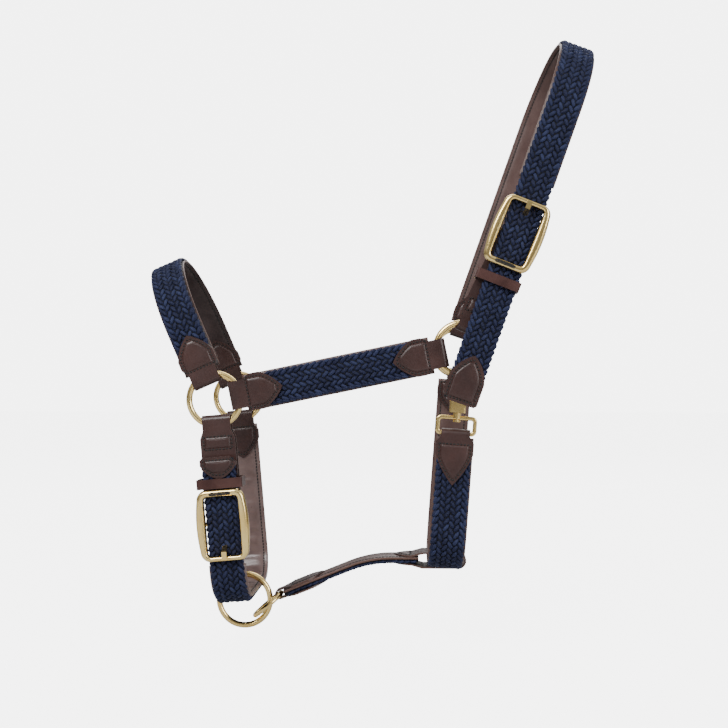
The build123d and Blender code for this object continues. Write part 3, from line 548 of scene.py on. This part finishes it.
def stitches(name, body, run, start, end, u, h):
    """Two rows of thread along a strap's margins."""
    points, faces = [], []
    for edge in (-1, 1):
        for i in range(int((end - start) / STITCH_PITCH)):
            add_cord(
                points, faces, lambda a, b, c: place(run, a, b, h + c), start + i * STITCH_PITCH,
                edge * u, *LINING_STITCH_SIZE, edge * LINING_STITCH_LEAN)
    finish_piece(name, points, faces, thread_mat, body)


# ---------------------------------------------------------------- chape faces
POINT_CURVE = 1.55          # how full a point's sides are
POINT_INSET_GAIN = 0.25     # how much more an inset line draws in at the tip
TIP_INSET = 1.4             # how much further it stays from the tip than from the sides
PAD_ROWS = 30
PAD_COLUMNS = 14
PAD_INSET = 3.5
PAD_TIP_INSET = 1.5
PAD_HEIGHT = 0.75
PAD_SHOULDER = 2.4          # from a pad's edge to its full height
PAD_LEAD = 0.2
PAD_SINK = 0.03
PAD_BACK = 0.12
PAD_LEAST_W = 0.25
SEAM_INSET = 2.5
SEAM_LEAD = 0.4
SEAM_STEPS = 60
SEAM_FIRST_AT = 0.6
SEAM_SHORTEST = 1e-6
SEAM_LIFT = 0.12
SEAM_STITCH_SIZE = (1.1, 0.58, 0.45)
SEAM_STITCH_LEAN = 0.15


def shield(tip, half, neck_at, point, inset):
    """Half-width of a chape's face at a distance along it, drawn in by an inset.

    With a point of 0 the face is square.
    """
    def width(d):
        if not point:
            return half - inset
        if d < neck_at or d > tip - inset * TIP_INSET:
            return 0.0
        if d <= tip - point:
            return half - inset
        t = (d - (tip - point)) / point
        return max(0.0, half * (1 - t ** POINT_CURVE) - inset * (1 + POINT_INSET_GAIN * t))
    return width


def pad(name, body, material, seat, neck_at, tip, half, point):
    """Raised leather centre inside a chape's stitch line, and its stitches.

    A seat is the pad's origin and its outward, lengthways and crossways directions.
    """
    base, out, way, width_dir = seat
    width = shield(tip, half, neck_at, point, PAD_INSET)
    first_d = neck_at + PAD_LEAD
    end = tip - PAD_INSET * (PAD_TIP_INSET if point else 1)
    points, faces = [], []
    for i in range(PAD_ROWS + 1):
        d = first_d + (end - first_d) * i / PAD_ROWS
        w = max(width(d), PAD_LEAST_W)
        for j in range(PAD_COLUMNS + 1):
            t = -1 + 2 * j / PAD_COLUMNS
            from_edge = min(w * (1 - abs(t)), d - first_d, end - d)
            rise = PAD_HEIGHT * min(1.0, max(0.0, from_edge) / PAD_SHOULDER) ** 0.5
            points.append((base + way * d + width_dir * (w * t) + out * (rise - PAD_SINK)) * MM)
    row = PAD_COLUMNS + 1
    for i in range(PAD_ROWS):
        for j in range(PAD_COLUMNS):
            a = i * row + j
            faces.append((a, a + 1, a + row + 1, a + row))
    under = len(points)
    points.extend([p - out * (PAD_BACK * MM) for p in points])
    faces.extend([tuple(k + under for k in reversed(face)) for face in faces])
    rim = list(range(PAD_COLUMNS)) + [i * row + PAD_COLUMNS for i in range(PAD_ROWS)]
    rim += [PAD_ROWS * row + j for j in range(PAD_COLUMNS, 0, -1)]
    rim += [i * row for i in range(PAD_ROWS, 0, -1)]
    for a, b in zip(rim, rim[1:] + rim[:1]):
        faces.append((b, a, a + under, b + under))
    finish_piece(name, points, faces, material, body)
    pad_seam(name + "_stitches", body, seat, neck_at, tip, half, point)


def pad_seam(name, body, seat, neck_at, tip, half, point):
    """Stitches round a pad."""
    base, out, way, width_dir = seat
    line = shield(tip, half, neck_at, point, SEAM_INSET)
    stop = tip - SEAM_INSET * (TIP_INSET if point else 1)
    outline = []
    for i in range(SEAM_STEPS + 1):
        d = neck_at - SEAM_LEAD + (stop - neck_at + SEAM_LEAD) * i / SEAM_STEPS
        outline.append((d, line(max(d, neck_at))))
    loop = [Vector((w, d, 0)) for d, w in outline] + [Vector((-w, d, 0)) for d, w in reversed(outline)]
    loop.append(loop[0])
    points, faces = [], []
    travelled, next_at = 0.0, SEAM_FIRST_AT
    for a, b in zip(loop, loop[1:]):
        length = (b - a).length
        while length > SEAM_SHORTEST and next_at <= travelled + length:
            spot = a.lerp(b, (next_at - travelled) / length)
            heading = (b - a).normalized()
            side_way = Vector((-heading.y, heading.x, 0))

            def put(p, q, r):
                flat = spot + heading * p + side_way * q
                return (base + width_dir * flat.x + way * flat.y + out * (SEAM_LIFT + r)) * MM

            add_cord(points, faces, put, 0, 0, *SEAM_STITCH_SIZE, SEAM_STITCH_LEAN)
            next_at += STITCH_PITCH
        travelled += length
    finish_piece(name, points, faces, thread_mat, body)


def chape(node, body, centre, angle, side, neck_at=CHAPE_NECK, tip=CHAPE_TIP, point=CHAPE_POINT_L):
    """Dresses a chape's CAD solid and adds its raised, stitched faces."""
    material = leather(node + "_leather", across(angle))
    dress(node, material)
    for sign, word in ((1, "outer"), (-1, "inner")):
        out = Vector((0, side * sign, 0))
        base = centre + Vector((0, side * SIDE_Y, 0)) + out * (CAVITY_T / 2 + LEATHER_T)
        seat = (base, out, along(angle), across(angle))
        pad(f"{node}_{word}", body, material, seat, neck_at, tip, CHAPE_W / 2, point)


# ---------------------------------------------------------------- cheek straps
PLAIT_GAP = 14.0            # a plait's cords stop this far short of a lining's ends, under the chapes

for side, word in ((-1, "near"), (1, "off")):
    beside = Vector((0, side * SIDE_Y, 0))
    cheek_run = straight_run(NOSE + beside, UPPER + beside, Vector((0, side, 0)), across(CHEEK_ANGLE))
    braid(f"{word}_cheek_plait", "cheeks", f"{word}_cheek_braid", cheek_run, CORE_START + PLAIT_GAP,
          CHEEK_SPAN - CORE_START - PLAIT_GAP)
    lining(f"{word}_cheek_backing", "cheeks", f"{word}_cheek_lining", cheek_run, CORE_START,
           CHEEK_SPAN - CORE_START, across(CHEEK_ANGLE))
    chape(f"{word}_cheek_front_chape", "cheeks", NOSE, CHEEK_ANGLE, side)
    chape(f"{word}_cheek_rear_chape", "cheeks", UPPER, CHEEK_ANGLE + 180, side)

# ---------------------------------------------------------------- noseband
noseband_run = arch_run(NOSE, NOSEBAND_ANGLE, -SIDE_Y, SIDE_Y, CORE_START, CORE_START, NOSEBAND_LENGTH,
                        NOSEBAND_CORNER)
noseband_l = noseband_run[0]
braid("noseband_plait", "noseband", "noseband_braid", noseband_run, PLAIT_GAP, noseband_l - PLAIT_GAP)
lining("noseband_backing", "noseband", "noseband_lining", noseband_run, 0, noseband_l,
       across(NOSEBAND_ANGLE), NOSEBAND_LINING_TONE)
chape("noseband_near_chape", "noseband", NOSE, NOSEBAND_ANGLE, -1)
chape("noseband_off_chape", "noseband", NOSE, NOSEBAND_ANGLE, 1)

# ---------------------------------------------------------------- crown
crown_run = arch_run(UPPER, CROWN_ANGLE, TAIL_X, SIDE_Y, CROWN_TAIL_START, CORE_START, CROWN_LENGTH,
                     CROWN_CORNER, CROWN_SET_BACK)
crown_l = crown_run[0]
braid("crown_plait", "crown", "crown_braid", crown_run, 0, crown_l - PLAIT_GAP, bare_until=CROWN_BARE_L)
lining("crown_backing", "crown", "crown_lining", crown_run, CROWN_LINING_FROM - CROWN_TAIL_START,
       crown_l - LINING_END_GAP, across(CROWN_ANGLE))
chape("crown_off_chape", "crown", UPPER, CROWN_ANGLE, 1)

# ---------------------------------------------------------------- chin strap
chin_run = arch_run(NOSE, CHIN_ANGLE, TAIL_X, SIDE_Y, CHIN_TAIL_START, CORE_START, CHIN_LENGTH, CHIN_CORNER)
chin_l = chin_run[0]
braid("chin_plait", "chin_strap", "chin_braid", chin_run, 0, chin_l - PLAIT_GAP, bare_until=CHIN_BARE_L)
lining("chin_backing", "chin_strap", "chin_lining", chin_run, CHIN_LINING_FROM - CHIN_TAIL_START,
       chin_l - LINING_END_GAP, across(CHIN_ANGLE), CHIN_LINING_TONE, pucker=0.7, roughness=0.3,
       gloss_level=0.6)
chape("chin_off_chape", "chin_strap", NOSE, CHIN_ANGLE, 1)

# ---------------------------------------------------------------- throat strap
THROAT_PLAIT_GAP = 12.0
THROAT_START = 68.1         # distances from the near upper ring, along the strap
THROAT_NECK_AT = 73.5
THROAT_TIP = 104.8
THROAT_POINT_L = 24.0

throat_run = arch_run(UPPER, THROAT_ANGLE, -SIDE_Y, SIDE_Y, THROAT_START, CORE_START, THROAT_LENGTH,
                      THROAT_CORNER)
throat_l = throat_run[0]
braid("throat_plait", "throat_strap", "throat_braid", throat_run, THROAT_PLAIT_GAP, throat_l - PLAIT_GAP)
lining("throat_backing", "throat_strap", "throat_lining", throat_run, 0, throat_l, across(THROAT_ANGLE))
chape("throat_near_chape", "throat_strap", UPPER, THROAT_ANGLE, -1, THROAT_NECK_AT, THROAT_TIP,
      THROAT_POINT_L)
chape("throat_off_chape", "throat_strap", UPPER, THROAT_ANGLE, 1)

# ---------------------------------------------------------------- billets
BUCKLE_AT = 96.0            # distances from the near ring, along the billet
BILLET_PLAIT_END = 81.0
BILLET_PAD_FROM = 29.0
BILLET_PAD_TO = 41.0
BILLET_PAD_HALF_W = 13.4
BILLET_PLAIT_LOW = -1.7
BILLET_PLAIT_W = 25.4
NEAR_OUT = Vector((0, -1, 0))
NEAR_SIDE = Vector((0, -SIDE_Y, 0))

for label, body, centre, angle in (
    ("crown", "crown", UPPER, CROWN_BILLET_ANGLE),
    ("chin", "chin_strap", NOSE, CHIN_ANGLE),
):
    billet_run = straight_run(
        centre + NEAR_SIDE, centre + along(angle) * BUCKLE_AT + NEAR_SIDE, NEAR_OUT, across(angle))
    billet_mat = leather(f"{label}_billet", across(angle))
    dress(f"{label}_billet_leather", billet_mat)
    braid(f"{label}_billet_plait", body, f"{label}_billet_braid", billet_run, CORE_START, BILLET_PLAIT_END,
          BILLET_PLAIT_LOW, width=BILLET_PLAIT_W)
    billet_face = centre + NEAR_SIDE + NEAR_OUT * (CAVITY_T / 2 + LEATHER_T)
    pad(f"{label}_billet_outer", body, billet_mat, (billet_face, NEAR_OUT, along(angle), across(angle)),
        BILLET_PAD_FROM, BILLET_PAD_TO, BILLET_PAD_HALF_W, point=0)

# ---------------------------------------------------------------- tail caps and keepers
CAP_HALF_W = 13.9
CROWN_CAP_FROM = -37.0      # a cap pad's square end and its point, from the ring centre
CROWN_CAP_TO = -2.0
CROWN_CAP_POINT = 19.0
CHIN_CAP_FROM = 46.5
CHIN_CAP_TO = 61.0
CHIN_CAP_POINT = 11.0
CAP_FACE_OUT = TAIL_MID + BRAID_T / 2 + CAP_T

crown_cap_mat = leather("crown_tail_cap_leather", across(CROWN_ANGLE))
dress("crown_tail_cap", crown_cap_mat)
chin_cap_mat = leather("chin_tail_cap_leather", across(CHIN_ANGLE))
dress("chin_tail_cap", chin_cap_mat)
crown_side = (Vector((0, 2 * SIDE_Y, 0)) - across(CROWN_ANGLE) * CROWN_SET_BACK).normalized()
crown_cap_base = UPPER + across(CROWN_ANGLE) * (CROWN_SET_BACK / 2) - crown_side * CAP_FACE_OUT
pad("crown_tail_cap_outer", "crown", crown_cap_mat,
    (crown_cap_base, -crown_side, along(CROWN_ANGLE), crown_side.cross(along(CROWN_ANGLE))),
    CROWN_CAP_FROM, CROWN_CAP_TO, CAP_HALF_W, CROWN_CAP_POINT)
pad("chin_tail_cap_outer", "chin_strap", chin_cap_mat,
    (NOSE + NEAR_OUT * CAP_FACE_OUT, NEAR_OUT, along(CHIN_ANGLE), across(CHIN_ANGLE)),
    CHIN_CAP_FROM, CHIN_CAP_TO, CAP_HALF_W, CHIN_CAP_POINT)
for label, angle in (("crown", CROWN_KEEPER_ANGLE), ("chin", CHIN_ANGLE)):
    keeper_mat = leather(f"{label}_keeper_leather", along(angle), KEEPER_TONE, gloss_level=0.14)
    dress(f"{label}_keeper", keeper_mat)

# ---------------------------------------------------------------- jowl strap
JOWL_RISE = radians(22.0)   # slope of the front stretch
JOWL_BEND_R = 95.0
CHIN_RING_PLAY = 0.1
JOWL_LINK_ANGLE = -10.2     # direction and distance from the chin ring's centre to the jowl ring's
JOWL_LINK_AT = 19.8
JOWL_RING_LEAN = 40.0
THROAT_LOOP_HALF = 16.6
JOWL_CORE_FROM = 4.1
JOWL_CORE_GAP = 4.0
JOWL_NECK_AT = 12.5
JOWL_LEAF_L = 40.0
JOWL_POINT_L = 13.0
THROAT_LEAF_SET_IN = 10.0
THROAT_LEAF_FROM = 1.0
THROAT_LEAF_TO = 14.0
THROAT_LEAF_HALF_W = 13.5
SLOPE_WAY = Vector((cos(JOWL_RISE), 0, sin(JOWL_RISE)))
SLOPE_UP = Vector((-sin(JOWL_RISE), 0, cos(JOWL_RISE)))
LEVEL_UP = Vector((0, 0, 1))
JOWL_ACROSS = Vector((0, 1, 0))
JOWL_FACE_OUT = CAVITY_T / 2 + LEATHER_T
THROAT_LOW = UPPER + along(THROAT_ANGLE) * (THROAT_LENGTH - CORE_T / 2)
# The chin strap's width is a chord of the chin ring's opening, and the ring hangs below it.
CHIN_RING_HANG = sqrt((CHIN_RING_MEAN_R - RING_WIRE_R) ** 2 - (LINING_W / 2) ** 2)
CHIN_RING = NOSE + along(CHIN_ANGLE) * (CHIN_LENGTH - CORE_T + CHIN_RING_HANG - CHIN_RING_PLAY)
JOWL_START = (CHIN_RING + along(JOWL_LINK_ANGLE) * JOWL_LINK_AT
              + along(JOWL_RING_LEAN) * JOWL_RING_MEAN_R)


def jowl_strap_run():
    """Run of the jowl strap: a rising stretch, a bend and a level stretch to the throat strap."""
    bend_rise = JOWL_BEND_R * (1 - cos(JOWL_RISE))
    slope_l = (THROAT_LOW.z - bend_rise - JOWL_START.z) / sin(JOWL_RISE)
    bend_l = JOWL_BEND_R * JOWL_RISE
    centre = JOWL_START + SLOPE_WAY * slope_l - SLOPE_UP * JOWL_BEND_R
    level_l = THROAT_LOW.x - centre.x

    def at(s):
        if s <= slope_l:
            return JOWL_START + SLOPE_WAY * s, -SLOPE_UP, JOWL_ACROSS
        if s <= slope_l + bend_l:
            turn = JOWL_RISE - (s - slope_l) / JOWL_BEND_R
            up = Vector((-sin(turn), 0, cos(turn)))
            return centre + up * JOWL_BEND_R, -up, JOWL_ACROSS
        x = centre.x + s - slope_l - bend_l
        return Vector((x, 0, THROAT_LOW.z)), -LEVEL_UP, JOWL_ACROSS
    return slope_l + bend_l + level_l, at


jowl_run = jowl_strap_run()
jowl_end = jowl_run[0] - THROAT_LOOP_HALF - JOWL_CORE_GAP
braid("jowl_plait", "jowl_strap", "jowl_braid", jowl_run, JOWL_CORE_FROM, jowl_end)
lining("jowl_backing", "jowl_strap", "jowl_lining", jowl_run, JOWL_CORE_FROM, jowl_end, JOWL_ACROSS)
jowl_front_mat = leather("jowl_front_chape_leather", JOWL_ACROSS)
dress("jowl_front_chape", jowl_front_mat)
throat_loop_mat = leather("jowl_throat_loop_leather", JOWL_ACROSS)
dress("jowl_throat_loop", throat_loop_mat)
for sign, word in ((1, "upper"), (-1, "lower")):
    front_face = JOWL_START + SLOPE_UP * (sign * JOWL_FACE_OUT)
    front_seat = (front_face, SLOPE_UP * sign, SLOPE_WAY, JOWL_ACROSS)
    pad(f"jowl_front_chape_{word}", "jowl_strap", jowl_front_mat, front_seat, JOWL_NECK_AT, JOWL_LEAF_L,
        CHAPE_W / 2, JOWL_POINT_L)
leaf_root = Vector((THROAT_LOW.x - THROAT_LOOP_HALF - THROAT_LEAF_SET_IN, 0, THROAT_LOW.z + JOWL_FACE_OUT))
leaf_seat = (leaf_root, LEVEL_UP, Vector((-1, 0, 0)), JOWL_ACROSS)
pad("jowl_throat_leaf", "jowl_strap", throat_loop_mat, leaf_seat, THROAT_LEAF_FROM, THROAT_LEAF_TO,
    THROAT_LEAF_HALF_W, JOWL_POINT_L)

# ---------------------------------------------------------------- brass
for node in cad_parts:
    if node.endswith("ring") or "buckle" in node or node.startswith("snap"):
        dress(node, brass_mat)
dress("snap_spring", spring_mat)

BUCKLE_T = 4.0
BUCKLE_GAP = 0.9            # from a buckled strap to the buckle's end bars
BUCKLE_FRONT = SIDE_Y + TAIL_INNER_Y + BRAID_T + BUCKLE_GAP + BUCKLE_T
BUCKLE_END_HALF_W = 18.7
BUCKLE_HALF_L = 27.5
BUCKLE_CORNER = 8.0
BUCKLE_SWELL = 1.6
OPENING_HALF_W = 12.9
OPENING_HALF_L = 22.4
OPENING_CORNER = 2.5
OPENING_AT = 0.7            # the plate bar is wider than the other end bar
FRAME_BLUNTNESS = 3.2       # how flat the bars' fronts are
FRAME_RAYS = 240
FRAME_STEPS = 14
FARTHEST = 45.0
HALVINGS = 30
PLATE_AT = -24.4            # from the buckle's bar to the middle of its plate
INLAY_HALF_L = 8.35
INLAY_HALF_W = 1.45
INLAY_END_STEPS = 8
INLAY_LEVELS = ((-0.58, 1.0), (0.02, 1.0), (0.1, 0.93))     # height over the front, and size


def rounded(x, y, half_w, half_l, corner):
    """Distance outside a rounded rectangle."""
    qx, qy = abs(x) - half_w + corner, abs(y) - half_l + corner
    return sqrt(max(qx, 0) ** 2 + max(qy, 0) ** 2) + min(max(qx, qy), 0) - corner


def outer_edge(x, y):
    """Distance outside the frame's outer outline, whose sides swell."""
    swell = BUCKLE_SWELL * (1 - min(1.0, abs(y) / (BUCKLE_HALF_L - BUCKLE_CORNER)) ** 2)
    return rounded(x, y, BUCKLE_END_HALF_W + swell, BUCKLE_HALF_L, BUCKLE_CORNER)


def inner_edge(x, y):
    """Distance outside the frame's opening."""
    return rounded(x, y - OPENING_AT, OPENING_HALF_W, OPENING_HALF_L, OPENING_CORNER)


def reach(edge, turn):
    """Distance from the frame's middle to an outline, at an angle."""
    low, high = 0.0, FARTHEST
    for _ in range(HALVINGS):
        middle = (low + high) / 2
        if edge(middle * cos(turn), middle * sin(turn)) < 0:
            low = middle
        else:
            high = middle
    return low


def domed_frame(node, body, bar, angle):
    """Buckle frame with rounded bars."""
    points, faces = [], []
    for i in range(FRAME_RAYS):
        turn = 2 * pi * i / FRAME_RAYS
        far, near = reach(outer_edge, turn), reach(inner_edge, turn)
        for j in range(FRAME_STEPS + 1):
            t = -cos(pi * j / FRAME_STEPS)
            radius = (far + near) / 2 - t * (far - near) / 2
            rise = BUCKLE_T * max(0.0, 1 - abs(t) ** FRAME_BLUNTNESS) ** 0.5
            spot = bar + across(angle) * (radius * cos(turn)) + along(angle) * (radius * sin(turn))
            points.append(Vector((spot.x, -(BUCKLE_FRONT - BUCKLE_T + rise), spot.z)) * MM)
    n = FRAME_STEPS + 1
    for i in range(FRAME_RAYS):
        following = (i + 1) % FRAME_RAYS
        for j in range(n):
            k = (j + 1) % n
            faces.append((i * n + j, following * n + j, following * n + k, i * n + k))
    finish_piece(node + "_domed", points, faces, brass_mat, body, (node,))


def inlay(name, body, bar, angle):
    """Dark enamel in the recess of a buckle's plate bar."""
    rim = []
    for sign in (1, -1):
        for k in range(INLAY_END_STEPS + 1):
            turn = -pi / 2 + pi * k / INLAY_END_STEPS
            end_u = INLAY_HALF_L - INLAY_HALF_W + INLAY_HALF_W * cos(turn)
            rim.append((sign * end_u, sign * INLAY_HALF_W * sin(turn)))
    points, faces = [], []
    for lift, size in INLAY_LEVELS:
        for u, d in rim:
            spot = bar + along(angle) * (PLATE_AT + d * size) + across(angle) * (u * size)
            points.append(Vector((spot.x, -(BUCKLE_FRONT + lift), spot.z)) * MM)
    n = len(rim)
    add_tube_faces(faces, 0, 2, n)
    faces.append(tuple(reversed(range(n))))
    faces.append(tuple(range(2 * n, 3 * n)))
    finish_piece(name, points, faces, inlay_mat, body, smooth=False)


CROWN_BAR = UPPER + along(CROWN_BILLET_ANGLE) * BUCKLE_AT
CHIN_BAR = NOSE + along(CHIN_ANGLE) * BUCKLE_AT
domed_frame("crown_buckle_frame", "crown", CROWN_BAR, CROWN_BUCKLE_ANGLE)
domed_frame("chin_buckle_frame", "chin_strap", CHIN_BAR, CHIN_ANGLE)
inlay("crown_buckle_inlay", "crown", CROWN_BAR, CROWN_BUCKLE_ANGLE)
inlay("chin_buckle_inlay", "chin_strap", CHIN_BAR, CHIN_ANGLE)

# ---------------------------------------------------------------- stage, light and camera (metres)
FLOOR_DROP = 0.012
FLOOR_HALF = 6.0
FLOOR_GLOW = 5.0            # the floor's and walls' glow, which only the camera sees
WALL_GLOW = 5.6
ROOM_GLOW = 0.55
ROOM_STOPS = ((0.0, (0.30, 0.29, 0.28)), (0.75, (1.35, 1.35, 1.35)))
LIGHTS_AIM = Vector((-0.06, 0, 0.02))
# Name, place, size and power in watts
LIGHTS = (
    ("key", (-0.9, -1.5, 1.3), 1.0, 46),
    ("fill", (1.4, -1.2, 0.5), 1.0, 20),
    ("back", (0.2, 1.4, 1.2), 1.2, 16),
)
CAMERA_AT = Vector((-0.033, -0.960, -0.020))
CAMERA_WAY = Vector((-0.047, 1.0, 0.0094))
FOCAL_MM = 57.8
SENSOR_MM = 36.0


def add_floor():
    """Plain pale floor under the object."""
    material, tree, principled = shader("pale_floor", 0.9)
    principled.inputs["Base Color"].default_value = (0.5, 0.5, 0.5, 1)
    principled.inputs["Emission Color"].default_value = (1, 1, 1, 1)
    seen = tree.nodes.new("ShaderNodeLightPath")
    glow = tree.nodes.new("ShaderNodeMath")
    glow.operation = "MULTIPLY"
    glow.inputs[1].default_value = FLOOR_GLOW
    tree.links.new(seen.outputs["Is Camera Ray"], glow.inputs[0])
    tree.links.new(glow.outputs[0], principled.inputs["Emission Strength"])
    mesh = bpy.data.meshes.new("floor")
    z = cad_box[0][2] - FLOOR_DROP
    corners = [(x * FLOOR_HALF, y * FLOOR_HALF, z) for x, y in ((-1, -1), (1, -1), (1, 1), (-1, 1))]
    mesh.from_pydata(corners, [], [(0, 1, 2, 3)])
    mesh.materials.append(material)
    plane = bpy.data.objects.new("floor", mesh)
    bpy.context.scene.collection.objects.link(plane)


def add_area_light(name, place_at, size, power):
    """Soft studio light."""
    data = bpy.data.lights.new(name, "AREA")
    data.size = size
    data.energy = power
    light = bpy.data.objects.new(name, data)
    light.location = place_at
    light.rotation_euler = (LIGHTS_AIM - Vector(place_at)).to_track_quat("-Z", "Y").to_euler()
    bpy.context.scene.collection.objects.link(light)


def add_room():
    """Plain white walls to the camera, and a dim room, brighter above, to the object."""
    world = bpy.data.worlds.new("studio")
    world.use_nodes = True
    tree = world.node_tree
    white = tree.nodes["Background"]
    white.inputs["Color"].default_value = (1, 1, 1, 1)
    white.inputs["Strength"].default_value = WALL_GLOW
    room = tree.nodes.new("ShaderNodeBackground")
    room.inputs["Strength"].default_value = ROOM_GLOW
    direction = tree.nodes.new("ShaderNodeTexCoord")
    split = tree.nodes.new("ShaderNodeSeparateXYZ")
    tree.links.new(direction.outputs["Generated"], split.inputs["Vector"])
    tree.links.new(ramp(tree, split.outputs["Z"], ROOM_STOPS), room.inputs["Color"])
    seen = tree.nodes.new("ShaderNodeLightPath")
    join = tree.nodes.new("ShaderNodeMixShader")
    tree.links.new(seen.outputs["Is Camera Ray"], join.inputs["Fac"])
    tree.links.new(room.outputs["Background"], join.inputs[1])
    tree.links.new(white.outputs["Background"], join.inputs[2])
    tree.links.new(join.outputs["Shader"], tree.nodes["World Output"].inputs["Surface"])
    bpy.context.scene.world = world


add_floor()
for light in LIGHTS:
    add_area_light(*light)
add_room()

camera = bpy.data.objects.new("camera", bpy.data.cameras.new("camera"))
camera.data.lens = FOCAL_MM
camera.data.sensor_width = SENSOR_MM
camera.location = CAMERA_AT
camera.rotation_euler = CAMERA_WAY.to_track_quat("-Z", "Y").to_euler()
bpy.context.scene.collection.objects.link(camera)
bpy.context.scene.camera = camera
